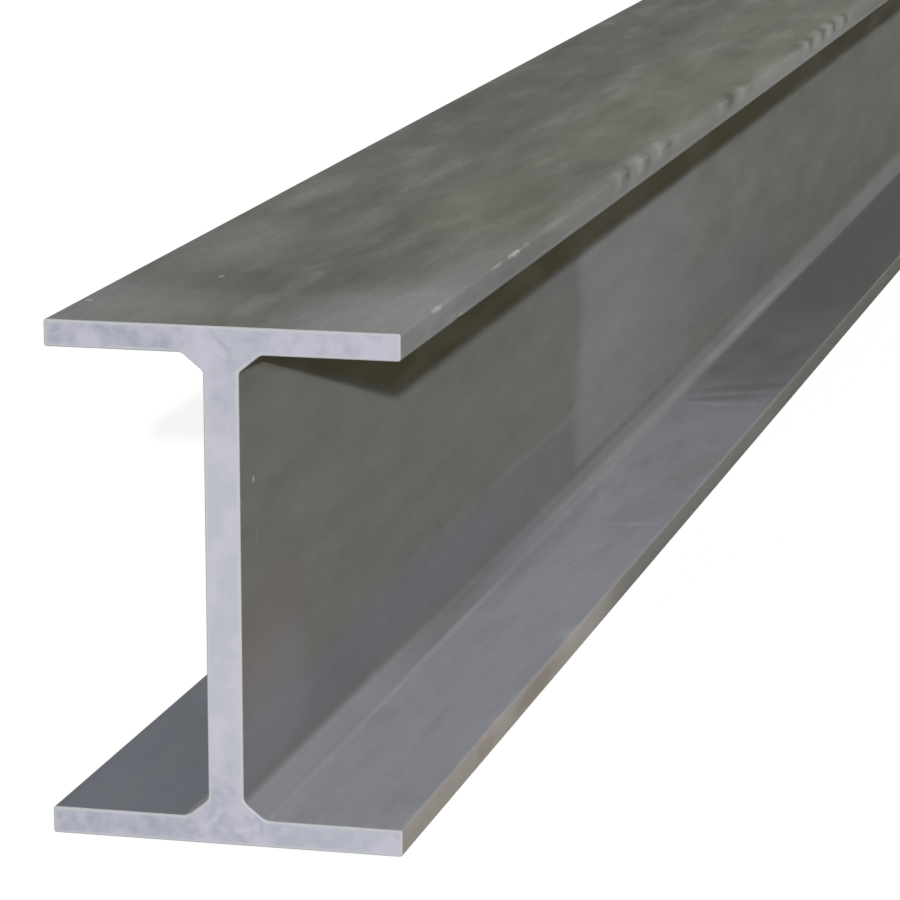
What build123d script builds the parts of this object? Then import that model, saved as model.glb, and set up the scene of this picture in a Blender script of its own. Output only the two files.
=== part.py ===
from build123d import *
import os

# Length of steel I-beam stock, lying on its bottom flange
# Millimetres. X runs along the beam, Y across the flanges, Z up from the underside.
# The origin is at the middle of the footprint.

# Overall sizes
stock_length = 6000.0
section_depth = 200.0
flange_width = 138.0

# Plate thicknesses
web_thickness = 14.0
flange_thickness = 10.6

# Root bands between the web and the flanges
# Each band slopes from the flange to the web, and both of its ends are blended.
root_flange_leg = 8.4
root_web_leg = 6.8
root_flange_blend = 7.0
root_web_blend = 4.0

# Worked edges
flange_corner_round = 1.2
sawn_edge_break = 0.5

# Derived positions
half_length = stock_length / 2
half_depth = section_depth / 2
half_width = flange_width / 2
half_web = web_thickness / 2
flange_inner = half_depth - flange_thickness
root_foot = half_web + root_flange_leg
root_top = flange_inner - root_web_leg


def mirrored_corners(y, z):
    """The same point of the section in all four quarters."""
    return [(y, z), (-y, z), (-y, -z), (y, -z)]


def section_outline():
    """Straight-sided outline of the whole section, anticlockwise from the right tip of the top flange."""
    upper_right = [
        (half_web, root_top),
        (root_foot, flange_inner),
        (half_width, flange_inner),
        (half_width, half_depth),
    ]
    upper_left = [(-y, z) for y, z in reversed(upper_right)]
    lower_left = [(-y, -z) for y, z in upper_right]
    lower_right = [(y, -z) for y, z in reversed(upper_right)]
    return upper_right + upper_left + lower_left + lower_right


def rounded_at(sketch, corners, radius):
    """The section with each of the given corners turned into an arc."""
    picked = []
    for y, z in corners:
        nearest = sketch.vertices().sort_by_distance(Vector(y, z, 0))[0]
        picked.append(nearest)
    return fillet(picked, radius)


def beam_section():
    """Section with blended root bands and softly rounded flange corners."""
    section = make_face(Polyline(*section_outline(), close=True))
    section = rounded_at(section, mirrored_corners(half_web, root_top), root_web_blend)
    section = rounded_at(section, mirrored_corners(root_foot, flange_inner), root_flange_blend)
    section = rounded_at(section, mirrored_corners(half_width, flange_inner), flange_corner_round)
    section = rounded_at(section, mirrored_corners(half_width, half_depth), flange_corner_round)
    return section


def sawn_end_edges(beam):
    """Every edge around the two sawn end faces."""
    ends = beam.faces().sort_by(Axis.X)
    return ends[0].edges() + ends[-1].edges()


def i_beam():
    """The whole length of stock, standing on its bottom flange."""
    start = Plane(origin=(-half_length, 0, half_depth), x_dir=(0, 1, 0), z_dir=(1, 0, 0))
    beam = extrude(start * beam_section(), amount=stock_length)
    return chamfer(sawn_end_edges(beam), sawn_edge_break)


os.makedirs("parts", exist_ok=True)
export_step(i_beam(), "parts/i_beam.step")
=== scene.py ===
"""A length of steel I-beam stock lying on a pale studio floor, seen from its sawn end.

The model's own frame holds: X runs along the beam away from the near end, Y to the left, Z up from the floor. Sizes of
the beam and of its marks are in millimetres until they reach a mesh or a map, and the studio's are in metres.
"""

import logging
import math
from dataclasses import dataclass, field
from enum import Enum

import bpy
import numpy as np
from mathutils import Matrix, Vector


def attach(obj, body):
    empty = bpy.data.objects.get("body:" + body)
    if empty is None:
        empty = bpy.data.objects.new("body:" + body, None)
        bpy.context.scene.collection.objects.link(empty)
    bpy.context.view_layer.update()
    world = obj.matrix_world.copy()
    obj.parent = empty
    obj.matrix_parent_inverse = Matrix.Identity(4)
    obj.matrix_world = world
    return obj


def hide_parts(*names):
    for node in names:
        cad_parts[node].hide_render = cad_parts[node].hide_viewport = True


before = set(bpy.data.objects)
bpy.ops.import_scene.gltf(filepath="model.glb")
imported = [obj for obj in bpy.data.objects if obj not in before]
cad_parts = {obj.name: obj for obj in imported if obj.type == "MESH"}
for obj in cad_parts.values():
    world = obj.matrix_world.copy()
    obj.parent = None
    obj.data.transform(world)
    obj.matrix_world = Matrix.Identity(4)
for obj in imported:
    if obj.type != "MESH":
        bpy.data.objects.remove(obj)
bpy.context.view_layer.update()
LOG = logging.getLogger("beam")

MM = 0.001
MM_IN_METRE = 1000.0
TINY = 0.001

Tone = tuple[float, float, float, float]
Triple = tuple[float, float, float]
Socket = bpy.types.NodeSocket


def paint(red: float, green: float, blue: float) -> Tone:
    """Turns a paint-card colour into the linear light values that a shader wants.

    It undoes the screen's curve, which is straight for the darkest tones and a power of 2.4 above them.

    Args:
        red: Red from 0 to 255, as on screen.
        green: Green from 0 to 255.
        blue: Blue from 0 to 255.

    Returns:
        The linear colour with full opacity.
    """
    card = np.array([red, green, blue]) / 255.0
    linear = np.where(card <= 0.04045, card / 12.92, ((card + 0.055) / 1.055) ** 2.4)
    return float(linear[0]), float(linear[1]), float(linear[2]), 1.0


WHITE = paint(255, 255, 255)
PALE = paint(176, 176, 176)
BRIGHT = paint(214, 212, 208)
BLUSH = paint(200, 176, 172)
RUST = paint(112, 78, 64)
OLIVE = paint(124, 122, 100)
BLUE = paint(118, 122, 136)
SLATE = paint(138, 142, 148)
HAZE = paint(166, 166, 172)
WARM = paint(146, 128, 122)
BUFF = paint(146, 134, 124)
# Dark tone for soot smudges, and for painted shade in creases, hollows and corners.
SOOT_AND_SHADE = paint(62, 62, 62)
WEB = paint(134, 134, 130)
# Dark olive painted shadow for the strips under the head.
PAINTED_SHADOW_UNDER_HEAD = paint(93, 87, 62)


class Face(Enum):
    """The strips of the section, in order round its outline from the middle of the underside to the right."""

    UNDERSIDE_RIGHT = 0
    FOOT_EDGE_RIGHT = 1
    FOOT_TOP_RIGHT = 2
    LOWER_ROOT_RIGHT = 3
    WEB_RIGHT = 4
    UPPER_ROOT_RIGHT = 5
    HEAD_UNDER_RIGHT = 6
    HEAD_EDGE_RIGHT = 7
    TOP = 8
    HEAD_EDGE_LEFT = 9
    HEAD_UNDER_LEFT = 10
    UPPER_ROOT_LEFT = 11
    WEB_LEFT = 12
    LOWER_ROOT_LEFT = 13
    FOOT_TOP_LEFT = 14
    FOOT_EDGE_LEFT = 15
    UNDERSIDE_LEFT = 16


class Finish(Enum):
    """Material slots of the beam's skin."""

    MILL = 0
    SAWN = 1


def all_on(face: Face, kind: type, rows: list[tuple]) -> tuple:
    """The dents or marks of one strip, from rows of their other fields."""
    return tuple(kind(face, *row) for row in rows)


def placed(name: str, data: bpy.types.ID) -> bpy.types.Object:
    """Makes an object and puts it in the scene.

    Args:
        name: Its name.
        data: Its mesh, light or camera.

    Returns:
        The object.
    """
    made = bpy.data.objects.new(name, data)
    bpy.context.scene.collection.objects.link(made)
    return made


# Section and shape


@dataclass(frozen=True)
class Outline:
    """Sampled outline of the section, as arrays with one entry for each point.

    Attributes:
        points: Y and Z of each point.
        normals: Outward direction at each point.
        around: Distance along the outline from the middle of the underside.
        bounds: Distance along the outline at which each strip starts, and the whole length last.
    """

    points: np.ndarray
    normals: np.ndarray
    around: np.ndarray
    bounds: np.ndarray

    @property
    def length(self) -> float:
        """Whole length of the outline."""
        return float(self.bounds[-1])

    def span(self, face: Face) -> tuple[float, float]:
        """Start and end of a strip along the outline."""
        return float(self.bounds[face.value]), float(self.bounds[face.value + 1])


@dataclass(frozen=True)
class Section:
    """Sizes of the section: two flanges, a web, and sloped root bands with blended ends, tighter under the head."""

    depth: float = 200.0
    width: float = 138.0
    web: float = 14.0
    flange: float = 10.6
    root_flange_leg: float = 8.4
    root_web_leg: float = 6.8
    root_flange_blend: float = 7.0
    root_web_blend: float = 4.0
    head_flange_blend: float = 3.2
    head_web_blend: float = 2.2
    corner_round: float = 1.2
    wide_step: float = 12.0
    edge_step: float = 0.9
    spill_steps: tuple[float, ...] = (0.8, 1.6, 2.6, 4.0, 6.0)
    guard: float = 0.4
    arc_steps: int = 4

    def corners(self) -> tuple[np.ndarray, np.ndarray]:
        """Corners of the straight-sided section and the radius that blends each.

        The right half is listed upwards from the middle of the underside, and the left half is its mirror image.

        Returns:
            The corner points, and their radii.
        """
        half, thin, foot = self.width / 2, self.web / 2, self.web / 2 + self.root_flange_leg
        low, high = self.flange, self.depth - self.flange
        lower_side = [(-half, 0.0), (-half, low), (-foot, low), (-thin, low + self.root_web_leg)]
        upper_side = [(-thin, high - self.root_web_leg), (-foot, high), (-half, high), (-half, self.depth)]
        right = np.array(lower_side + upper_side)
        left = right[::-1] * np.array([-1.0, 1.0])
        tip = self.corner_round
        lower = [self.root_flange_blend, self.root_web_blend]
        upper = [self.head_web_blend, self.head_flange_blend]
        radii = np.array([tip, tip, *lower, *upper, tip, tip])
        return np.concatenate([np.zeros((1, 2)), right, left]), np.concatenate([[0.0], radii, radii[::-1]])

    def blended(self) -> np.ndarray:
        """Arc points at every corner.

        An arc starts one tangent length before its corner, radius times the tangent of half the turn, and turns
        about a centre that stands a radius off the incoming side.

        Returns:
            An array of corners by arc points by Y and Z.
        """
        corner, radius = self.corners()
        inward = corner - np.roll(corner, 1, axis=0)
        outward = np.roll(corner, -1, axis=0) - corner
        inward /= np.linalg.norm(inward, axis=1, keepdims=True)
        outward /= np.linalg.norm(outward, axis=1, keepdims=True)
        cross = inward[:, 0] * outward[:, 1] - inward[:, 1] * outward[:, 0]
        turn = np.arctan2(np.abs(cross), (inward * outward).sum(1))
        side = np.stack([-inward[:, 1], inward[:, 0]], 1) * np.sign(cross)[:, None]
        start = corner - inward * (radius * np.tan(turn / 2))[:, None]
        centre = start + side * radius[:, None]
        angle = turn[:, None] * np.linspace(0.0, 1.0, self.arc_steps + 1)[None, :]
        reach = radius[:, None, None]
        return (
            centre[:, None, :]
            - side[:, None, :] * reach * np.cos(angle)[:, :, None]
            + inward[:, None, :] * reach * np.sin(angle)[:, :, None]
        )

    def outline(self) -> Outline:
        """Samples the blended outline, finely at the worked right edge of the top flange and widely on flat faces.

        The arcs joined by straight runs make one closed line. Sample distances are the arc points, evenly spaced
        points on each run, and a guard point close to both ends of a run, which keeps flat faces flat in shading.
        Distances are rounded to a ten-thousandth of a millimetre, so that points in one place become one.

        Returns:
            The sampled outline.
        """
        arcs = self.blended()
        line = np.concatenate([arcs.reshape(-1, 2), arcs[0, :1]])
        travel = np.concatenate([[0.0], np.cumsum(np.linalg.norm(np.diff(line, axis=0), axis=1))])
        at_arc = travel[:-1].reshape(arcs.shape[:2])
        begins, ends = at_arc[:, -1], np.append(at_arc[1:, 0], travel[-1])
        samples = [travel, begins[Face.TOP.value] + np.array(self.spill_steps)]
        for face in Face:
            low, high = begins[face.value], ends[face.value]
            step = self.edge_step if face is Face.HEAD_EDGE_RIGHT else self.wide_step
            samples.append(np.linspace(low, high, max(1, math.ceil((high - low) / step)) + 1))
            if high - low > 4 * self.guard:
                samples.append(np.array([low + self.guard, high - self.guard]))
        around = np.unique(np.round(np.concatenate(samples), 4))
        around = around[around < travel[-1] - TINY]
        points = np.stack([np.interp(around, travel, line[:, axis]) for axis in range(2)], 1)
        tangent = np.roll(points, -1, axis=0) - np.roll(points, 1, axis=0)
        tangent /= np.linalg.norm(tangent, axis=1, keepdims=True)
        normals = np.stack([-tangent[:, 1], tangent[:, 0]], 1)
        middles = (at_arc[:, 0] + at_arc[:, -1]) / 2
        return Outline(points, normals, around, np.append(middles, travel[-1]))


@dataclass(frozen=True)
class Dent:
    """A knock in the steel: where on which strip, its reach along and across, and its depth."""

    face: Face
    along: float
    share: float
    length: float
    height: float
    deep: float


@dataclass(frozen=True)
class Chatter:
    """A run of slanted tool marks on a flange edge."""

    start: float
    end: float
    pitch: float
    deep: float
    slant: float = -1.3


CHATTER = (Chatter(392, 542, 49, 1.1), Chatter(652, 748, 61, 0.7), Chatter(925, 1100, 43.5, 1.0))


@dataclass(frozen=True)
class Wear:
    """Everything that takes the skin off its ideal shape, as one depth over the unrolled surface."""

    # Each row: distance from the near end, share of the strip's width, reach along and across, depth
    dents: tuple[Dent, ...] = (
        *all_on(Face.HEAD_EDGE_RIGHT, Dent, [
            (55, 1.0, 6, 2.2, 1.0),
            (188, 1.02, 12, 2.6, 1.2),
            (155, 1.0, 6, 2.0, 0.8),
            (93, 0.05, 6, 1.6, 0.7),
            (222, 0.95, 14, 2.4, 0.6),
            (290, 1.0, 16, 2.2, 0.6),
            (345, 1.0, 12, 2.0, 0.6),
            (590, 1.0, 18, 2.2, 0.7),
            (810, 1.0, 22, 2.4, 0.8),
            (870, 1.0, 14, 2.2, 0.7),
        ]),
        *all_on(Face.FOOT_EDGE_RIGHT, Dent, [
            (131, 0.9, 7, 2.0, 0.7),
            (152, 0.95, 6, 2.0, 0.8),
            (162, 0.9, 5, 2.0, 0.6),
            (300, 1.0, 16, 2.6, 0.6),
        ]),
    )
    chatter: tuple[Chatter, ...] = CHATTER
    uneven: tuple[float, float, int] = (0.45, 1.0, 8)
    climb_power: float = 0.8
    spill: float = 8.0
    worn_lip: float = 0.9
    lip_width: float = 3.6
    lip_from: tuple[float, float] = (240.0, 440.0)
    lip_to: tuple[float, float] = (1100.0, 1600.0)
    waves: int = 9
    wave_lengths: tuple[float, float] = (350.0, 2200.0)
    wave_deep: float = 0.10
    seed: int = 41

    def depth(self, along: np.ndarray, outline: Outline) -> np.ndarray:
        """Depth of the skin below its ideal surface.

        A dent is a bell in both directions. Chatter is a raised sine of distance along the edge, slanted up its
        height, uneven from mark to mark and faded in at both ends. It grows towards the upper corner and runs out
        on the top. The worn lip is a bell across the upper corner, faded in along the beam. The rest is a slow sum
        of sines along the beam with random phases.

        Args:
            along: Distance of each station from the near end.
            outline: The sampled section.

        Returns:
            Depths, stations by outline points.
        """
        x, v = along[:, None], outline.around[None, :]
        total = np.zeros((along.size, outline.around.size))
        for dent in self.dents:
            low, high = outline.span(dent.face)
            centre = low + dent.share * (high - low)
            bell = ((x - dent.along) / dent.length) ** 2 + ((v - centre) / dent.height) ** 2
            total += dent.deep * np.exp(-2.0 * bell)
        low, high = outline.span(Face.HEAD_EDGE_RIGHT)
        climb = np.clip((v - low) / (high - low), 0.0, 1.0) ** self.climb_power
        on_edge = climb * np.clip((high + self.spill - v) / self.spill, 0.0, 1.0)
        draw = np.random.default_rng(self.seed)
        last = self.uneven[2] - 1
        for run in self.chatter:
            fade = np.clip((x - run.start) / (run.pitch / 2), 0, 1) * np.clip((run.end - x) / (run.pitch / 2), 0, 1)
            phase = (x - run.start + run.slant * (v - low)) / run.pitch
            uneven = draw.uniform(*self.uneven)[np.clip(np.floor(phase), 0, last).astype(int)]
            total += run.deep * uneven * fade * on_edge * (0.5 - 0.5 * np.cos(2 * np.pi * phase)) ** 2
        worn = np.interp(x, self.lip_from, (0.0, 1.0)) * np.interp(x, self.lip_to, (1.0, 0.0))
        total += self.worn_lip * worn * np.exp(-(((v - high) / self.lip_width) ** 2))
        length = draw.uniform(*self.wave_lengths, self.waves)
        phase = draw.uniform(0.0, 2 * np.pi, self.waves)
        slow = np.sin(2 * np.pi * x / length[None, :] + phase[None, :]).sum(1) / math.sqrt(self.waves)
        return total + self.wave_deep * (0.5 + 0.5 * np.tanh(slow))[:, None]


# Shader tools


class Signal:
    """A number that varies over a surface: a shader socket that takes part in Python arithmetic."""

    def __init__(self, graph: "Graph", socket: Socket) -> None:
        """Wraps an output socket of a graph."""
        self.graph = graph
        self.socket = socket

    def _math(self, operation: str, *terms: "Signal | float") -> "Signal":
        """Adds a Math node on the given terms and wraps its result."""
        made = self.graph.node("ShaderNodeMath", {"operation": operation}, dict(enumerate(terms)))
        return Signal(self.graph, made.outputs[0])

    def __add__(self, other: "Signal | float") -> "Signal":
        """Sum with a signal or a number."""
        return self._math("ADD", self, other)

    __radd__ = __add__

    def __sub__(self, other: "Signal | float") -> "Signal":
        """Difference from a signal or a number."""
        return self._math("SUBTRACT", self, other)

    def __rsub__(self, other: float) -> "Signal":
        """A number less this signal."""
        return self._math("SUBTRACT", other, self)

    def __mul__(self, other: "Signal | float") -> "Signal":
        """Product with a signal or a number."""
        return self._math("MULTIPLY", self, other)

    __rmul__ = __mul__

    def __truediv__(self, other: "Signal | float") -> "Signal":
        """Quotient by a signal or a number."""
        return self._math("DIVIDE", self, other)

    def __abs__(self) -> "Signal":
        """Size of this signal without its sign."""
        return self._math("ABSOLUTE", self)

    def squared(self) -> "Signal":
        """This signal times itself, which renders faster than a power."""
        return self * self

    def sine(self) -> "Signal":
        """Sine of this signal, read as an angle."""
        return self._math("SINE", self)

    def most(self, other: "Signal | float") -> "Signal":
        """The larger of two signals."""
        return self._math("MAXIMUM", self, other)

    def least(self, other: "Signal | float") -> "Signal":
        """The smaller of two signals."""
        return self._math("MINIMUM", self, other)

    def rise(self, low: float, high: float) -> "Signal":
        """A smooth step from 0 at low to 1 at high, which falls where low is above high.

        Args:
            low: Where the step starts.
            high: Where it ends.

        Returns:
            The step, kept between 0 and 1.
        """
        flip = low > high
        bounds = {"From Min": min(low, high), "From Max": max(low, high)}
        ends = {"To Min": 1.0 if flip else 0.0, "To Max": 0.0 if flip else 1.0}
        settings = {"interpolation_type": "SMOOTHSTEP", "clamp": True}
        made = self.graph.node("ShaderNodeMapRange", settings, {"Value": self, **bounds, **ends})
        return Signal(self.graph, made.outputs["Result"])

    def within(self, low: float, high: float, soft: float) -> "Signal":
        """1 between two values and 0 outside them, with a smooth step of the given width at both."""
        return self.rise(low - soft / 2, low + soft / 2) * self.rise(high + soft / 2, high - soft / 2)


Coat = tuple[Signal, Tone]


class Graph:
    """The node tree of one material, or of the room."""

    def __init__(self, owner: "bpy.types.Material | bpy.types.World") -> None:
        """Empties a node tree.

        Args:
            owner: The material or world that it belongs to.
        """
        owner.use_nodes = True
        self.owner = owner
        self.tree = owner.node_tree
        self.tree.nodes.clear()

    def node(self, kind: str, settings: dict, inputs: dict) -> bpy.types.Node:
        """Adds any node.

        Args:
            kind: The node's type name.
            settings: Its properties, set first.
            inputs: Values, signals or sockets for its inputs, by name or index.

        Returns:
            The new node.
        """
        made = self.tree.nodes.new(kind)
        for key, value in settings.items():
            setattr(made, key, value)
        for key, value in inputs.items():
            source = value.socket if isinstance(value, Signal) else value
            if isinstance(source, Socket):
                self.tree.links.new(source, made.inputs[key])
            else:
                made.inputs[key].default_value = source
        return made

    def mix(self, share: "Signal | float", first: "Tone | Socket", second: "Tone | Socket", blend: str) -> Socket:
        """Mixes two colours, where the share says how much of the second shows."""
        settings = {"data_type": "RGBA", "blend_type": blend, "clamp_factor": True}
        return self.node("ShaderNodeMix", settings, {0: share, 6: first, 7: second}).outputs[2]

    def coated(self, colour: "Tone | Socket", coats: list[Coat]) -> "Tone | Socket":
        """Paints coats over a colour, each on those before it.

        Args:
            colour: The colour underneath.
            coats: Each coat's share, from 0 to 1, and its tone.

        Returns:
            The painted colour.
        """
        for share, tone in coats:
            colour = self.mix(share, colour, tone, "MIX")
        return colour

    def grey(self, level: Signal) -> Socket:
        """A grey of a varying level."""
        return self.node("ShaderNodeCombineColor", {}, {0: level, 1: level, 2: level}).outputs[0]

    def parts(self, source: Socket, *axes: int) -> list[Signal]:
        """The named numbers of a coordinate in metres, each in millimetres."""
        outputs = self.node("ShaderNodeSeparateXYZ", {}, {0: source}).outputs
        return [Signal(self, outputs[axis]) * MM_IN_METRE for axis in axes]

    def stretched(self, source: Socket, scale: Triple) -> Socket:
        """Coordinates multiplied by a size along each axis."""
        return self.node("ShaderNodeVectorMath", {"operation": "MULTIPLY"}, {0: source, 1: scale}).outputs[0]

    def noise(self, source: Socket, scale: float, detail: float = 3.0, rough: float = 0.55) -> Signal:
        """Cloudy noise, centred on one half, of so many repeats in each metre, octaves and roughness."""
        inputs = {"Vector": source, "Scale": scale, "Detail": detail, "Roughness": rough}
        return Signal(self, self.node("ShaderNodeTexNoise", {"noise_dimensions": "3D"}, inputs).outputs[0])

    def cells(self, source: Socket, scale: float) -> Signal:
        """Distance to the nearest of a scatter of points, for specks."""
        inputs = {"Vector": source, "Scale": scale}
        return Signal(self, self.node("ShaderNodeTexVoronoi", {"feature": "F1"}, inputs).outputs["Distance"])

    def seen_as(self, lighting: bpy.types.Node, shown: bpy.types.Node) -> Socket:
        """Shows one shader to the camera and in shiny surfaces, while another lights the object.

        Args:
            lighting: The shader for rays that only light the object.
            shown: The shader for rays from the camera, off a shiny surface or through glass.

        Returns:
            The mixed shader's socket.
        """
        path = self.node("ShaderNodeLightPath", {}, {}).outputs
        camera, glossy, through = (Signal(self, path[f"Is {ray} Ray"]) for ray in ("Camera", "Glossy", "Transmission"))
        inputs = {0: camera.most(glossy).most(through), 1: lighting.outputs[0], 2: shown.outputs[0]}
        return self.node("ShaderNodeMixShader", {}, inputs).outputs[0]

    def steel(self, colour: Socket, rough: Signal, height: Signal, look: "SteelLook") -> bpy.types.Material:
        """Finishes the material as steel.

        Args:
            colour: Its colour.
            rough: Its roughness.
            height: Its fine relief, from 0 to about 1.
            look: What is the same all over it.

        Returns:
            The material.
        """
        relief = {"Strength": look.relief, "Distance": look.relief_height * MM, "Height": height}
        inputs = {
            "Base Color": colour,
            "Metallic": look.metallic,
            "Roughness": rough,
            "Specular IOR Level": look.gloss,
            "Normal": self.node("ShaderNodeBump", {}, relief).outputs[0],
        }
        return self.finish(self.node("ShaderNodeBsdfPrincipled", {}, inputs).outputs[0])

    def finish(self, shader: Socket) -> "bpy.types.Material | bpy.types.World":
        """Connects a shader to the output.

        Args:
            shader: The shader's socket.

        Returns:
            The material or world.
        """
        kind = "World" if isinstance(self.owner, bpy.types.World) else "Material"
        self.node(f"ShaderNodeOutput{kind}", {}, {"Surface": shader})
        return self.owner


# Finishes


@dataclass(frozen=True)
class SteelLook:
    """What is the same all over one finish: how metallic and glossy it is, and how strong and high its relief."""

    metallic: float
    gloss: float
    relief: float
    relief_height: float


@dataclass(frozen=True)
class Mark:
    """A soft oval patch of another colour at a known place on the unrolled skin."""

    face: Face
    along: float
    share: float
    length: float
    height: float
    colour: Tone
    strength: float
    rag: float = 0.35
    slant: float = 0.0


class Unrolled:
    """What the oxide skin's colours read at a place on the unrolled surface, with distances in millimetres."""

    def __init__(self, graph: Graph, outline: Outline) -> None:
        """Adds the nodes that read the map and the noises.

        The fold is the distance round the section, alike on both sides. Drift, breaks and fray are slow, broken and
        fine noise, centred on zero, which bend and fray borders. The flow is the map drawn out along the beam.

        Args:
            graph: The material.
            outline: The section's outline.
        """
        self.outline = outline
        self.place = graph.node("ShaderNodeUVMap", {"uv_map": "unrolled"}, {}).outputs[0]
        self.flow = graph.stretched(self.place, (0.22, 1.0, 1.0))
        self.along, self.around = graph.parts(self.place, 0, 1)
        self.fold = outline.length / 2 - abs(self.around - outline.length / 2)
        top = outline.span(Face.TOP)[0]
        self.on_top = self.fold.rise(top, top + 3)
        self.cloud = graph.noise(self.flow, 16.0)
        self.blotch = graph.noise(self.flow, 48.0, 5.0, 0.6)
        self.drift, self.breaks = self.cloud - 0.5, self.blotch - 0.5
        self.fray = graph.noise(self.place, 420.0, 3.0, 0.6) - 0.5


@dataclass(frozen=True)
class MillFinish:
    """Hot-worked steel skin: a dull oxide that changes tone from strip to strip, smudged, streaked and knocked, with
    painted shadow, shade and highlights where light falls on it.
    """

    underside: Tone = paint(122, 120, 114)
    # Each row: a strip, its tone and the width of its soft border
    strip_tones: tuple[tuple[Face, Tone, float], ...] = (
        (Face.FOOT_EDGE_RIGHT, paint(166, 159, 151), 1.6),
        (Face.FOOT_TOP_RIGHT, paint(185, 186, 194), 1.6),
        (Face.LOWER_ROOT_RIGHT, paint(149, 149, 153), 3.0),
        (Face.WEB_RIGHT, WEB, 3.0),
        # The two strips under the head carry a dark olive painted shadow.
        (Face.UPPER_ROOT_RIGHT, PAINTED_SHADOW_UNDER_HEAD, 5.0),
        (Face.HEAD_UNDER_RIGHT, PAINTED_SHADOW_UNDER_HEAD, 4.0),
        (Face.HEAD_EDGE_RIGHT, paint(127, 127, 124), 1.6),
        (Face.TOP, paint(121, 122, 114), 1.6),
    )
    foot_edge_near: Tone = paint(194, 188, 179)
    foot_edge_beyond: Tone = paint(133, 131, 127)
    foot_edge_far: Tone = paint(114, 114, 106)
    # Painted shade: the left foot top is a darker copy of the right one.
    foot_top_left_shaded: Tone = paint(137, 141, 150)
    foot_top_far: Tone = paint(118, 120, 118)
    lower_root_near: Tone = paint(174, 174, 180)
    lower_root_far: Tone = paint(120, 121, 123)
    web_low_band: Tone = paint(136, 138, 149)
    web_far: Tone = paint(108, 106, 92)
    # Dark olive painted shadow laid on the web under the head.
    painted_shadow_tone: Tone = paint(97, 89, 46)
    head_edge_worn: Tone = paint(166, 166, 162)
    head_edge_bare: Tone = paint(186, 183, 180)
    head_edge_far: Tone = paint(92, 92, 84)
    top_bloom: Tone = paint(138, 135, 114)
    smudge: Tone = paint(150, 150, 148)
    look: SteelLook = SteelLook(metallic=0.05, gloss=0.04, relief=0.25, relief_height=0.4)
    # Each row: distance from the near end, share of the strip's width, reach along and across, colour, strength,
    # and where they aren't the usual ones, raggedness and slant
    marks: tuple[Mark, ...] = (
        *all_on(Face.TOP, Mark, [
            (42, 0.97, 2.2, 1.6, BRIGHT, 0.8),
            (105, 0.725, 3.0, 1.2, BRIGHT, 0.7),
            (30, 0.10, 80, 34, PALE, 0.62, 1.1),
            (110, 0.04, 110, 15, PALE, 0.42, 1.1),
            (30, 0.86, 70, 38, PALE, 0.40, 1.1),
            (312, 0.24, 80, 26, OLIVE, 0.30),
            (330, 0.16, 30, 10, SOOT_AND_SHADE, 0.14),
            (98, 0.56, 24, 50, SOOT_AND_SHADE, 0.26, 0.9),
            (72, 0.70, 22, 26, SOOT_AND_SHADE, 0.16, 0.9),
            (190, 0.84, 64, 20, PALE, 0.24, 1.2),
            (282, 0.72, 56, 22, SOOT_AND_SHADE, 0.18, 0.9),
            (345, 0.88, 36, 8, PALE, 0.24, 1.3),
            (300, 0.90, 30, 6, PALE, 0.20, 1.3),
            (250, 0.60, 44, 10, PALE, 0.14, 1.3),
            (180, 0.42, 60, 16, SOOT_AND_SHADE, 0.12, 0.9),
            (760, 0.30, 60, 8, SOOT_AND_SHADE, 0.24, 0.9),
            (900, 0.24, 50, 8, SOOT_AND_SHADE, 0.26, 0.9),
        ]),
        # The bright rows on the head's edge are painted highlights on its knocked corners.
        *all_on(Face.HEAD_EDGE_RIGHT, Mark, [
            (56, 1.0, 9, 1.6, BRIGHT, 0.55, 0.6),
            (188, 1.0, 12, 1.7, BRIGHT, 0.70, 0.6),
            (212, 1.0, 9, 1.2, BRIGHT, 0.22, 0.7),
            (155, 1.0, 10, 1.2, BRIGHT, 0.26, 0.7),
            (93, 0.06, 5, 1.3, BRIGHT, 0.8),
            (268, 1.0, 26, 2.4, PALE, 0.5, 0.8),
        ]),
        *all_on(Face.WEB_RIGHT, Mark, [
            (40, 0.36, 46, 26, WARM, 0.26, 1.0),
            (34, 0.17, 56, 28, HAZE, 0.34, 0.8),
            (14, 0.30, 22, 20, BUFF, 0.22, 1.0),
            (18, 0.735, 1.1, 1.4, BRIGHT, 0.8),
            (22, 0.60, 3.0, 3.0, PALE, 0.14),
        ]),
        *all_on(Face.FOOT_EDGE_RIGHT, Mark, [
            (131, 0.95, 4, 1.6, BLUSH, 0.9),
            (152, 0.98, 4, 1.2, BLUSH, 0.8),
            (162, 0.95, 3, 1.1, BLUSH, 0.7),
            (136, 0.45, 16, 4, RUST, 0.20),
            (232, 0.55, 40, 4, RUST, 0.28),
        ]),
        *all_on(Face.FOOT_TOP_RIGHT, Mark, [
            (520, 0.30, 3.2, 2.6, BRIGHT, 0.36, 1.0, 0.5),
            (521, 0.31, 4.0, 14, BRIGHT, 0.26, 1.2, 0.9),
            (818, 0.55, 4, 3.0, BRIGHT, 0.26, 1.0, 0.5),
            (824, 0.46, 4.0, 26, BRIGHT, 0.16, 1.2, 0.6),
            (842, 0.48, 9, 24, SOOT_AND_SHADE, 0.22, 0.7, 1.2),
            (872, 0.45, 13, 26, SOOT_AND_SHADE, 0.24, 0.7, 1.2),
            (470, 0.95, 130, 8, SLATE, 0.42, 0.8),
            (915, 0.45, 46, 34, SOOT_AND_SHADE, 0.22, 1.0),
            (985, 0.70, 36, 26, SOOT_AND_SHADE, 0.16, 1.0),
        ]),
    )
    chatter: tuple[Chatter, ...] = CHATTER
    dark_web_end: float = 612.0
    dark_web_fade: float = 35.0
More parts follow.
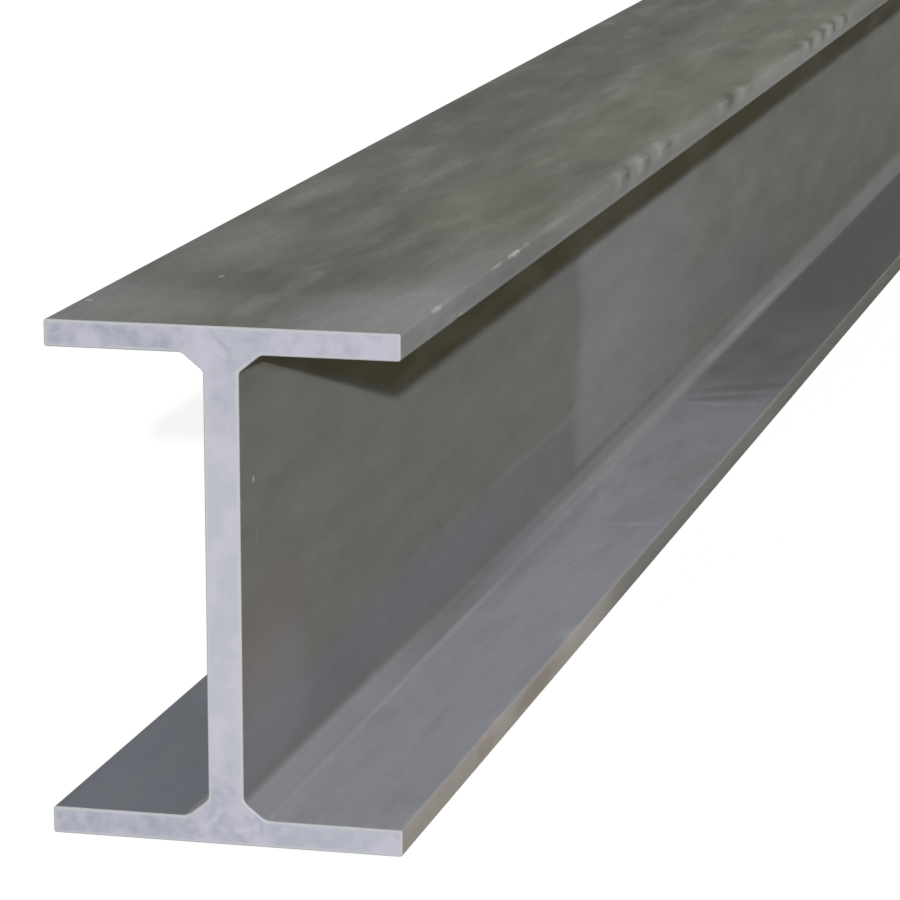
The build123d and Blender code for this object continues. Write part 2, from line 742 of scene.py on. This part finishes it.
    # Widths of the painted highlight and painted shade lines along the lower root.
    painted_line_width: float = 1.3
    painted_line_core: float = 0.26
    broad: float = 19.0
    broad_fade: tuple[float, float] = (1.9, -0.1)
    small_fade: tuple[float, float] = (1.2, 0.35)

    def strips(self, skin: Unrolled) -> list[Coat]:
        """Base tone of each strip above the underside, alike on both sides, with soft borders at the blends.

        Args:
            skin: The unrolled surface.

        Returns:
            The coats.
        """
        starts = [(skin.outline.span(face)[0], tone, soft) for face, tone, soft in self.strip_tones]
        # Painted shade: the left foot top is painted darker than the right.
        left = skin.around.within(*skin.outline.span(Face.FOOT_TOP_LEFT), 2)
        coats = [(skin.fold.rise(start - soft / 2, start + soft / 2), tone) for start, tone, soft in starts]
        return [*coats, (left, self.foot_top_left_shaded)]

    def smudges(self, graph: Graph, skin: Unrolled) -> list[Coat]:
        """Light and dark smudges, strongest on the top, and broad olive and bluish clouds.

        Args:
            graph: The material.
            skin: The unrolled surface.

        Returns:
            The coats.
        """
        return [
            (skin.blotch.rise(0.50, 0.70) * (skin.on_top * 0.26 + 0.16), self.smudge),
            (skin.blotch.rise(0.50, 0.30) * (skin.on_top * 0.18 + 0.14), SOOT_AND_SHADE),
            (skin.cloud.rise(0.52, 0.72) * 0.18, OLIVE),
            (graph.noise(skin.flow, 9.0, 2.0).rise(0.52, 0.70) * 0.20, BLUE),
        ]

    def web_coats(self, skin: Unrolled) -> list[Coat]:
        """Tones of the web and the lower roots.

        The stretch by the near end is dark, with a bluish band and a pale streak low down. A dark olive painted
        shadow lies in the strip under the head, and narrows to a wedge towards the near end as the head's cast shadow
        does. The root pales near the end and darkens beyond, with painted highlights as a fine pale line where it
        meets the foot and just above it, and painted shade as a dark line at the web.

        Args:
            skin: The unrolled surface.

        Returns:
            The coats.
        """
        low, high = skin.outline.span(Face.WEB_RIGHT)
        root = skin.outline.span(Face.LOWER_ROOT_RIGHT)[0]
        along, fold, drift = skin.along, skin.fold, skin.drift
        bent = along + drift * 60 - (fold - low) * 0.1
        near = bent.rise(self.dark_web_end, self.dark_web_end - self.dark_web_fade)
        on_web = fold.within(low + 2, high, 5)
        light = (1.0 - near) * on_web * (along + drift * 300).rise(1080, 600)
        band = (fold + drift * 14).within(low + 3, low + 30, 10) * along.rise(660, 340)
        # Painted shadow: the head's cast shadow on the web, narrowing to a wedge towards the near end.
        wedge = (240 - along).most(0.0) * 0.247
        painted_shadow_mask = (fold - wedge + drift * 4).rise(high - 57, high - 50) * fold.rise(high + 6, high)
        streak = (fold + drift * 10).within(low + 31, low + 35, 5) * near * along.rise(100, 500)
        on_root = fold.within(root + 0.5, low + 0.5, 2)
        root_top = on_root * fold.rise(root + 4, root + 7) * along.rise(500, 800)
        # Painted highlights on the root's lower part where it meets the foot, and painted shade where it meets the
        # web.
        line = abs(fold - root).rise(self.painted_line_width, self.painted_line_core)
        painted_glint = abs(fold - root - 2.2).rise(4.2, 0.5) * along.within(400, 1250, 350)
        painted_crease_shade = abs(fold - low).rise(self.painted_line_width * 1.4, self.painted_line_core)
        return [
            (near * on_web * (along.rise(60, 260) * 0.07 + 0.005), SOOT_AND_SHADE),
            (light * 0.34, PALE),
            (band * 0.46, self.web_low_band),
            (painted_shadow_mask * 0.85, self.painted_shadow_tone),
            (on_web * along.rise(950, 1350) * 0.30, self.web_far),
            (streak * 0.16, PALE),
            (on_root * along.rise(340, 100) * 0.45, self.lower_root_near),
            (on_root * along.rise(160, 340) * 0.56, self.lower_root_far),
            (root_top * 0.6, WEB),
            (line * (along.within(300, 950, 300) * 0.25 + 0.30), PALE),
            (painted_glint * 0.42, PALE),
            (painted_crease_shade * 0.22, SOOT_AND_SHADE),
        ]

    def top_coats(self, skin: Unrolled) -> list[Coat]:
        """Tones of the top: an olive bloom on its right half past the near end, a pale worn right edge, and a painted
        highlight along the lower corner of the head's edge.

        Args:
            skin: The unrolled surface.

        Returns:
            The coats.
        """
        low, high = skin.outline.span(Face.TOP)
        edge = skin.outline.span(Face.HEAD_EDGE_RIGHT)[0]
        quarter, middle = low + 0.25 * (high - low), low + 0.55 * (high - low)
        along, around = skin.along, skin.around
        right_half = around.rise(low - 1, low + 8) * around.rise(middle, quarter)
        bloom = right_half * along.rise(160, 360) * skin.cloud.rise(0.34, 0.58)
        left_half = around.within(middle, high, 20) * along.rise(300, 700)
        worn = around.rise(edge - 1, edge + 1) * (around + skin.drift * 30 + skin.fray * 8).rise(low + 10, low)
        # Painted highlight along the rounded lower corner of the head's edge.
        lip = abs(around - edge - 1.0).rise(2.2, 0.3)
        return [
            (bloom * 0.55, self.top_bloom),
            (left_half * 0.27, SOOT_AND_SHADE),
            (worn * along.rise(150, 300) * 0.50, self.head_edge_worn),
            (worn * along.within(720, 1080, 160) * 0.30, self.head_edge_bare),
            (worn * along.rise(1050, 1300) * 0.28, self.head_edge_far),
            (lip * 0.28, PALE),
        ]

    def foot_coats(self, skin: Unrolled) -> list[Coat]:
        """Tones of the foot: darker further along, with an edge that turns from pale brown to olive, and painted shade
        along its rounded lower corner.

        Args:
            skin: The unrolled surface.

        Returns:
            The coats.
        """
        low, high = skin.outline.span(Face.FOOT_TOP_RIGHT)
        edge = skin.outline.span(Face.FOOT_EDGE_RIGHT)[0]
        along, fold = skin.along, skin.fold
        on_edge = fold.within(edge, low, 2) * 0.85
        # Painted shade along the foot's rounded lower corner by the floor.
        lower = fold.rise(edge + 8, edge + 2) * fold.rise(edge - 4, edge - 1)
        return [
            (fold.within(low, high + 0.5, 3) * (along + skin.drift * 300).rise(420, 1220), self.foot_top_far),
            (on_edge, self.foot_edge_near),
            (on_edge * (along + skin.drift * 100).rise(310, 440), self.foot_edge_beyond),
            (on_edge * along.rise(550, 1100), self.foot_edge_far),
            (lower * (along.rise(350, 550) * 0.12 + 0.06), SOOT_AND_SHADE),
        ]

    def painted_chatter_light(self, skin: Unrolled) -> list[Coat]:
        """The chatter marks: painted highlights on the crests and painted shade in the hollows of the tool marks in
        the mesh.

        A crest is where the cosine of the slanted phase is high, and a hollow where it is low, both faded at the
        ends of the run, frayed by noise, and kept to the upper part of the flange edge and the border of the top.

        Args:
            skin: The unrolled surface.

        Returns:
            The coats.
        """
        low, high = skin.outline.span(Face.HEAD_EDGE_RIGHT)
        on_edge = skin.around.rise(low + 2.5, low + 8.5) * skin.around.rise(high + 9, high + 2)
        fray = skin.fray * 1.5 + skin.breaks * 2.2
        coats = []
        for run in self.chatter:
            window = skin.along.within(run.start, run.end, run.pitch * 0.8) * on_edge
            phase = ((skin.along - run.start) + (skin.around - low) * run.slant) * (2 * math.pi / run.pitch)
            wave = (phase + math.pi / 2).sine() + fray
            # Painted highlight on each crest, then painted shade in each hollow.
            coats.append((wave.rise(0.30, 1.40) * window * 0.36, BRIGHT))
            coats.append((wave.rise(-0.1, -1.20) * window * 0.56, SOOT_AND_SHADE))
        return coats

    def patch(self, skin: Unrolled, mark: Mark) -> Coat:
        """One mark, as a coat inside an oval with a ragged border.

        The oval's measure is the squared distance from its middle in its own lengths, leaned by the slant. Broad
        marks fade out over their whole width, and broken noise frays them. Fine noise frays the others.

        Args:
            skin: The unrolled surface.
            mark: The mark.

        Returns:
            The coat.
        """
        low, high = skin.outline.span(mark.face)
        climb = skin.around - (low + mark.share * (high - low))
        run = skin.along - mark.along
        if mark.slant:
            run = run + climb * (mark.slant * mark.length / mark.height)
        broad = mark.length > self.broad
        fade, fray = (self.broad_fade, skin.breaks) if broad else (self.small_fade, skin.fray)
        measure = (run / mark.length).squared() + (climb / mark.height).squared() + fray * (4 * mark.rag)
        return measure.rise(*fade) * mark.strength, mark.colour

    def dress(self, outline: Outline) -> bpy.types.Material:
        """Builds the material.

        Args:
            outline: The section's outline, for the places of the strips.

        Returns:
            The material.
        """
        graph = Graph(bpy.data.materials.new("mill_steel"))
        skin = Unrolled(graph, outline)
        on_top = skin.on_top
        fine = graph.noise(skin.flow, 400.0, 3.0, 0.7)
        mottle = graph.noise(skin.flow, 170.0, 4.0, 0.6)
        grain = graph.noise(skin.place, 700.0, 2.0, 0.6)
        rolling = graph.noise(graph.stretched(skin.place, (1.3, 160.0, 1.0)), 1.0, 3.0, 0.6)
        specks = graph.cells(skin.place, 150.0).rise(0.16, 0.05) * skin.cloud.rise(0.56, 0.68)
        pits = graph.cells(skin.place, 210.0).rise(0.30, 0.06)
        coats = [
            *self.strips(skin),
            *self.smudges(graph, skin),
            *self.web_coats(skin),
            *self.top_coats(skin),
            *self.foot_coats(skin),
            *self.painted_chatter_light(skin),
            (specks * 0.35, RUST),
            *[self.patch(skin, mark) for mark in self.marks],
        ]
        shade = mottle * (on_top * 0.20 + 0.16) + fine * (on_top * 0.16 + 0.10) + rolling * 0.06 - on_top * 0.18 + 0.78
        colour = graph.mix(1.0, graph.coated(self.underside, coats), graph.grey(shade), "MULTIPLY")
        rough = 0.60 - skin.blotch.rise(0.45, 0.65) * 0.08 + mottle * 0.12
        height = mottle * 0.6 + fine * 0.3 + grain * 0.25 + rolling * 0.30 - pits * 0.35
        return graph.steel(colour, rough, height, self.look)


@dataclass(frozen=True)
class Stroke:
    """A faint line on the sawn face, from one point to another, in millimetres across and up."""

    y0: float
    z0: float
    y1: float
    z1: float
    wide: float
    strength: float


@dataclass(frozen=True)
class SawnFinish:
    """Freshly sawn steel: pale and cool, clouded, with fine saw lines and the flow lines of the joined plates."""

    face: Tone = paint(148, 149, 159)
    rim: Tone = paint(166, 168, 166)
    cloud: Tone = paint(166, 160, 174)
    shade: Tone = paint(128, 134, 145)
    bright: Tone = paint(170, 171, 177)
    dark_line: Tone = paint(138, 140, 149)
    light_line: Tone = paint(174, 170, 186)
    look: SteelLook = SteelLook(metallic=0.15, gloss=0.15, relief=0.2, relief_height=0.2)
    saw_across: float = 1.3
    saw_up: float = 5.2
    saw_bend: float = 14.0
    rim_width: float = 1.7
    dark_strokes: tuple[Stroke, ...] = (
        Stroke(3.7, 198.0, 1.3, 195.0, 1.6, 0.5),
        Stroke(1.3, 195.0, -3.3, 190.7, 1.8, 0.6),
        Stroke(-4.4, 193.0, -3.0, 185.5, 1.0, 0.4),
        Stroke(2.0, 10.0, -1.3, 6.0, 1.3, 0.4),
        Stroke(4.0, 6.3, 5.0, 2.0, 1.4, 0.4),
    )
    light_strokes: tuple[Stroke, ...] = (
        Stroke(3.0, 194.0, -1.5, 188.0, 2.4, 0.35),
        Stroke(2.3, 14.5, 4.7, 9.3, 2.2, 0.5),
        Stroke(4.0, 10.0, 10.0, 5.3, 2.2, 0.45),
        Stroke(2.0, 7.0, -2.0, 2.7, 2.0, 0.35),
        Stroke(-3.3, 5.3, -11.7, 7.3, 1.8, 0.35),
        Stroke(-12.0, 9.5, -12.5, 5.5, 1.8, 0.4),
    )

    def inside(self, section: Section, y: Signal, z: Signal) -> Signal:
        """Distance inwards from the nearest edge of the section.

        The section is folded into one quarter, measured across and up from its middle. Each of flange, web and
        root band gives the least distance to its own sides, and the most of the three counts.

        Args:
            section: The section's sizes.
            y: Distance to the left.
            z: Height.

        Returns:
            The distance.
        """
        across, up = abs(y), abs(z - section.depth / 2)
        end = section.depth / 2 - up
        inner = section.depth / 2 - section.flange
        run, rise = section.root_flange_leg, section.root_web_leg
        length = math.hypot(run, rise)
        flange = (section.width / 2 - across).least(up - inner).least(end)
        web = (section.web / 2 - across).least(end)
        band = (up - (inner - rise)) * (run / length) - (across - section.web / 2) * (rise / length)
        return flange.most(web).most(band.least(end))

    def cover(self, stroke: Stroke, y: Signal, z: Signal) -> Signal:
        """How much of a stroke covers a place.

        The place is measured along the stroke and across it. The cover falls off smoothly across, and past both ends.

        Args:
            stroke: The stroke.
            y: Distance to the left.
            z: Height.

        Returns:
            The cover.
        """
        run, rise = stroke.y1 - stroke.y0, stroke.z1 - stroke.z0
        length = math.hypot(run, rise)
        run, rise = run / length, rise / length
        forward = y * run + z * rise - (stroke.y0 * run + stroke.z0 * rise)
        across = y * rise - z * run - (stroke.y0 * rise - stroke.z0 * run)
        return forward.within(0.0, length, 1.5) * abs(across).rise(stroke.wide, 0.1) * stroke.strength

    def dress(self, section: Section) -> bpy.types.Material:
        """Builds the material.

        Args:
            section: The section's sizes.

        Returns:
            The material.
        """
        graph = Graph(bpy.data.materials.new("sawn_steel"))
        place = graph.node("ShaderNodeTexCoord", {}, {}).outputs["Object"]
        y, z = graph.parts(place, 1, 2)
        mottle = graph.noise(place, 160.0, 4.0, 0.6)
        clouds = graph.noise(place, 55.0)
        saw = (z * self.saw_up + y * self.saw_across + clouds * self.saw_bend).sine() * 0.5 + 0.5
        upright = abs(y).rise(13, 8) * z.rise(8, 40) * (1.0 - z.rise(140, 180) * 0.45)
        head_right = y.rise(6, -10) * z.rise(180, 188)
        foot_right = y.rise(-12, -28) * z.rise(14, 9)
        brighter = upright.most(head_right * 0.35).most(foot_right * 0.5)
        light = mottle.rise(0.30, 0.60)
        edge = (self.inside(section, y, z) + (clouds - 0.5) * 2.2).rise(self.rim_width, 0.3)
        coats = [
            (mottle.rise(0.38, 0.66) * 0.80, self.shade),
            (clouds.rise(0.42, 0.62) * 0.70, self.cloud),
            (brighter * (mottle * 0.9), self.bright),
            *[(self.cover(stroke, y, z), self.dark_line) for stroke in self.dark_strokes],
            *[(self.cover(stroke, y, z) * light, self.light_line) for stroke in self.light_strokes],
            (saw * 0.10, self.shade),
            (edge * (mottle * 0.6 + 0.35), self.rim),
        ]
        rough = mottle * 0.15 + 0.5
        return graph.steel(graph.coated(self.face, coats), rough, mottle * 0.5 + saw * 0.4, self.look)


# The beam


@dataclass(frozen=True)
class Grid:
    """The quads of the skin, one between each two neighbouring stations and outline points.

    Attributes:
        outline: The sampled section.
        along: Distance of each station from the near end.
        row: Station index of each quad.
        column: Outline index of each quad.
    """

    outline: Outline
    along: np.ndarray
    row: np.ndarray
    column: np.ndarray

    def faces(self) -> list[list[int]]:
        """Point indices of every quad and of both end faces, all turned outwards.

        Returns:
            The faces.
        """
        rows, columns = self.along.size, self.outline.around.size
        following = (self.column + 1) % columns
        near, far = self.row * columns, (self.row + 1) * columns
        quads = np.stack([near + self.column, far + self.column, far + following, near + following], axis=2)
        cap = np.arange(columns)
        return [*quads.reshape(-1, 4).tolist(), cap.tolist(), ((rows - 1) * columns + cap[::-1]).tolist()]

    def corners(self, near: np.ndarray, far: np.ndarray, right: np.ndarray, left: np.ndarray) -> np.ndarray:
        """Map places of every quad's corners.

        Args:
            near: Place along the map of the quad's near side.
            far: Place along the map of its far side.
            right: Place up the map of its first side round the section.
            left: Place up the map of its next side round the section.

        Returns:
            Corners by two places.
        """
        u = np.stack([near, far, far, near], axis=2).reshape(-1)
        v = np.stack([right, right, left, left], axis=2).reshape(-1)
        return np.stack([u, v], axis=1)


@dataclass
class BeamSkin:
    """The beam's whole surface: the section carried along X, with broken sawn edges and both end faces."""

    length: float = 6000.0
    end_rows: tuple[float, ...] = (0.0, 0.12, 0.3, 0.5, 0.9, 1.8)
    end_insets: tuple[float, ...] = (0.5, 0.24, 0.07, 0.0, 0.0, 0.0)
    end_clear: float = 3.0
    break_rows: int = 3
    worked_length: float = 1100.0
    worked_step: float = 5.0
    middle_length: float = 1800.0
    middle_step: float = 20.0
    far_step: float = 60.0
    bake_cuts: tuple[float, ...] = (1199.0, 2799.0, 4399.0)
    bake_rows: tuple[tuple[float, float], ...] = ((0.004, 0.444), (0.452, 0.572), (0.580, 0.700), (0.708, 0.828))
    bake_caps: tuple[float, float] = (0.84, 0.99)
    section: Section = field(default_factory=Section)
    wear: Wear = field(default_factory=Wear)
    mill: MillFinish = field(default_factory=MillFinish)
    sawn: SawnFinish = field(default_factory=SawnFinish)

    def stations(self) -> tuple[np.ndarray, np.ndarray]:
        """Where along the beam the section stands, and how far it is drawn in there.

        The rows are close together on the worked stretch by the near end and wide apart beyond. The section is
        drawn in at both end faces, and swells to its full size over a rounded strip.

        Returns:
            Distances from the near end, and insets.
        """
        near = np.arange(0.0, self.worked_length, self.worked_step)
        middle = np.arange(self.worked_length, self.middle_length, self.middle_step)
        far = np.arange(self.middle_length, self.length, self.far_step)
        body = np.concatenate([near, middle, far])
        body = body[(body > self.end_clear) & (body < self.length - self.end_clear)]
        end, inset = np.array(self.end_rows), np.array(self.end_insets)
        along = np.concatenate([end, body, self.length - end[::-1]])
        return along, np.concatenate([inset, np.zeros(body.size), inset[::-1]])

    def surface(self, outline: Outline, along: np.ndarray, drawn: np.ndarray) -> np.ndarray:
        """Places the skin's points: outline point less its normal times the inset and the wear.

        Args:
            outline: The sampled section.
            along: Distance of each station from the near end.
            drawn: Inset of each station.

        Returns:
            Points, stations by outline points by X, Y and Z.
        """
        depth = self.wear.depth(along, outline) + drawn[:, None]
        flat = outline.points[None, :, :] - outline.normals[None, :, :] * depth[:, :, None]
        x = np.broadcast_to((along - self.length / 2)[:, None, None], (*depth.shape, 1))
        return np.concatenate([x, flat], axis=2)

    def build(self) -> bpy.types.Object:
        """Makes the closed mesh with its two maps and both materials.

        Returns:
            The new piece.
        """
        outline = self.section.outline()
        along, drawn = self.stations()
        points = self.surface(outline, along, drawn) * MM
        grid = Grid(outline, along, *np.indices((along.size - 1, outline.around.size)))
        mesh = bpy.data.meshes.new("i_beam_skin")
        mesh.from_pydata(points.reshape(-1, 3), [], grid.faces())
        self.add_map(mesh, "unrolled", self.unrolled_map(grid))
        self.add_map(mesh, "OFBake", self.bake_map(grid))
        self.mark_ends(mesh, along.size, outline.around.size)
        mesh.materials.append(self.mill.dress(outline))
        mesh.materials.append(self.sawn.dress(self.section))
        mesh.validate()
        mesh.update()
        return placed("i_beam_skin", mesh)

    def add_map(self, mesh: bpy.types.Mesh, name: str, places: np.ndarray) -> None:
        """Adds a map with a place for each corner of the mesh, where corners past the last place stay at zero."""
        filled = np.pad(places, ((0, len(mesh.loops) - len(places)), (0, 0))).astype(np.float32)
        mesh.uv_layers.new(name=name).uv.foreach_set("vector", filled.ravel())

    def unrolled_map(self, grid: Grid) -> np.ndarray:
        """Distances along the beam and round the section, in metres, which the oxide's colours read.

        They are given corner by corner, so that the last strip runs on to the outline's full length.

        Args:
            grid: The skin's quads.

        Returns:
            A place for each corner of each quad.
        """
        around = np.append(grid.outline.around, grid.outline.length)
        near, far = grid.along[grid.row], grid.along[grid.row + 1]
        return grid.corners(near, far, around[grid.column], around[grid.column + 1]) * MM

    def bake_map(self, grid: Grid) -> np.ndarray:
        """Places in a picture that the skin can be baked into.

        The skin is cut at a few stations. Each stretch fills a row across the picture, with the distance round the
        section going up, and the worked stretch by the near end has the tallest row. Both end faces lie above them.

        Args:
            grid: The skin's quads.

        Returns:
            A place for each corner of each quad, then of each end face.
        """
        along, outline = grid.along, grid.outline
        cuts = np.concatenate([[0], np.searchsorted(along, self.bake_cuts), [along.size - 1]])
        stretch = np.searchsorted(cuts, grid.row, side="right") - 1
        begin, end = along[cuts[stretch]], along[cuts[stretch + 1]]
        low, high = np.array(self.bake_rows)[stretch].transpose(2, 0, 1)
        near, far = ((along[station] - begin) / (end - begin) for station in (grid.row, grid.row + 1))
        share = np.append(outline.around, outline.length) / outline.length
        right, left = (low + share[point] * (high - low) for point in (grid.column, grid.column + 1))
        floor, ceiling = self.bake_caps
        scale = (ceiling - floor) / self.section.width
        face = (outline.points[:, ::-1] + np.array([0.0, self.section.width / 2])) * scale
        gap, tall = 1.0 - ceiling, self.section.depth * scale
        near_cap = face + np.array([gap, floor])
        far_cap = face[::-1] * np.array([-1.0, 1.0]) + np.array([2 * (gap + tall), floor])
        return np.concatenate([grid.corners(near, far, right, left), near_cap, far_cap])

    def mark_ends(self, mesh: bpy.types.Mesh, rows: int, columns: int) -> None:
        """Gives the end faces and their broken edges the sawn finish and a sharp border, and smooths the rest.

        Args:
            mesh: The skin.
            rows: Number of stations.
            columns: Number of outline points.
        """
        quads = (rows - 1) * columns
        station = np.append(np.arange(quads) // columns, [0, rows - 2])
        sawn = (station < self.break_rows) | (station > rows - 2 - self.break_rows)
        slots = np.where(sawn, Finish.SAWN.value, Finish.MILL.value).astype(np.int32)
        mesh.polygons.foreach_set("material_index", slots)
        mesh.polygons.foreach_set("use_smooth", np.arange(quads + 2) < quads)
        ends = np.empty(len(mesh.edges) * 2, dtype=np.int32)
        mesh.edges.foreach_get("vertices", ends)
        at = ends.reshape(-1, 2) // columns
        border = (at[:, 0] == at[:, 1]) & ((at[:, 0] == 0) | (at[:, 0] == rows - 1))
        mesh.attributes.new("sharp_edge", "BOOLEAN", "EDGE").data.foreach_set("value", border)


# The studio


@dataclass(frozen=True)
class Studio:
    """Floor, light and camera."""

    focal: float = 4327.4
    frame_size: float = 900.0
    sensor: float = 36.0
    near_clip: float = 0.05
    far_clip: float = 200.0
    eye: Triple = (-4.50896, -0.45700, 0.48898)
    yaw: float = -13.759
    pitch: float = 12.045
    roll: float = 0.081
    to_key: Triple = (-0.938, -0.248, 0.250)
    key_strength: float = 4.4
    key_angle: float = 0.9
    to_fill: Triple = (0.55, 0.83, 0.06)
    fill_strength: float = 1.1
    fill_angle: float = 20.0
    room_light: float = 0.145
    floor_size: float = 60.0
    floor_level: float = -0.0002
    floor_tone: float = 0.32
    floor_mottle: float = 0.03
    shown_tone: Tone = (0.30, 0.30, 0.30, 1.0)
    shown_glow: float = 0.86

    def camera(self) -> bpy.types.Object:
        """Stands the camera at its place.

        Its axes come from the yaw, pitch and roll: forward, right and down are unit vectors, and the camera looks
        along its own minus Z with plus Y up.

        Returns:
            The camera.
        """
        yaw, pitch, roll = (math.radians(angle) for angle in (self.yaw, self.pitch, self.roll))
        level = math.cos(pitch)
        forward = Vector((math.cos(yaw) * level, -math.sin(yaw) * level, -math.sin(pitch)))
        right = Vector((-math.sin(yaw), -math.cos(yaw), 0.0))
        down = forward.cross(right)
        turned_right = right * math.cos(roll) + down * math.sin(roll)
        turned_down = down * math.cos(roll) - right * math.sin(roll)
        axes = Matrix((turned_right, -turned_down, -forward)).transposed()
        data = bpy.data.cameras.new("camera")
        data.sensor_width = self.sensor
        data.lens = self.focal / self.frame_size * self.sensor
        data.clip_start, data.clip_end = self.near_clip, self.far_clip
        camera = placed("camera", data)
        camera.matrix_world = Matrix.Translation(self.eye) @ axes.to_4x4()
        bpy.context.scene.camera = camera
        return camera

    def lamp(self, name: str, towards: Triple, strength: float, angle: float) -> bpy.types.Object:
        """Hangs a far light.

        Args:
            name: Its name.
            towards: Where its rays come from.
            strength: How strong it is.
            angle: How wide it looks from the object, in degrees.

        Returns:
            The light.
        """
        data = bpy.data.lights.new(name, "SUN")
        data.energy = strength
        data.angle = math.radians(angle)
        lamp = placed(name, data)
        lamp.rotation_euler = Vector(towards).to_track_quat("Z", "Y").to_euler()
        return lamp

    def room(self) -> None:
        """Sets the even light of the room, which shows as white but lights the object more gently."""
        world = bpy.data.worlds.new("room")
        bpy.context.scene.world = world
        graph = Graph(world)
        gentle = graph.node("ShaderNodeBackground", {}, {"Color": WHITE, "Strength": self.room_light})
        white = graph.node("ShaderNodeBackground", {}, {"Color": WHITE, "Strength": 1.0})
        graph.finish(graph.seen_as(gentle, white))

    def floor(self) -> bpy.types.Object:
        """Lays the floor, pale for the light that it sends back and nearly white where it is seen.

        Returns:
            The floor.
        """
        reach, level = self.floor_size / 2, self.floor_level
        corners = [(-reach, -reach, level), (reach, -reach, level), (reach, reach, level), (-reach, reach, level)]
        mesh = bpy.data.meshes.new("floor")
        mesh.from_pydata(corners, [], [(0, 1, 2, 3)])
        graph = Graph(bpy.data.materials.new("floor"))
        place = graph.node("ShaderNodeTexCoord", {}, {}).outputs["Object"]
        pale = graph.grey(graph.noise(place, 1.5, 2.0) * self.floor_mottle + self.floor_tone)
        bounce = graph.node("ShaderNodeBsdfDiffuse", {}, {"Color": pale})
        shown = graph.node("ShaderNodeBsdfDiffuse", {}, {"Color": self.shown_tone})
        glow = graph.node("ShaderNodeEmission", {}, {"Color": WHITE, "Strength": self.shown_glow})
        white = graph.node("ShaderNodeAddShader", {}, {0: shown.outputs[0], 1: glow.outputs[0]})
        mesh.materials.append(graph.finish(graph.seen_as(bounce, white)))
        return placed("floor", mesh)

    def build(self) -> bpy.types.Object:
        """Sets up the whole studio.

        Returns:
            The floor, which isn't part of the object.
        """
        self.camera()
        self.lamp("key", self.to_key, self.key_strength, self.key_angle)
        self.lamp("fill", self.to_fill, self.fill_strength, self.fill_angle)
        self.room()
        bpy.context.scene.view_settings.view_transform = "Standard"
        return self.floor()


def main() -> None:
    """Builds the beam's skin and the studio in order."""
    logging.basicConfig(level=logging.INFO, format="%(name)s: %(message)s")
    skin = BeamSkin().build()
    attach(skin, "root")
    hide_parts("i_beam")
    LOG.info("%s: %d points, %d faces", skin.name, len(skin.data.vertices), len(skin.data.polygons))
    floor = Studio().build()
    LOG.info("%s: laid, with the camera and two lamps", floor.name)


if __name__ == "__main__":
    main()
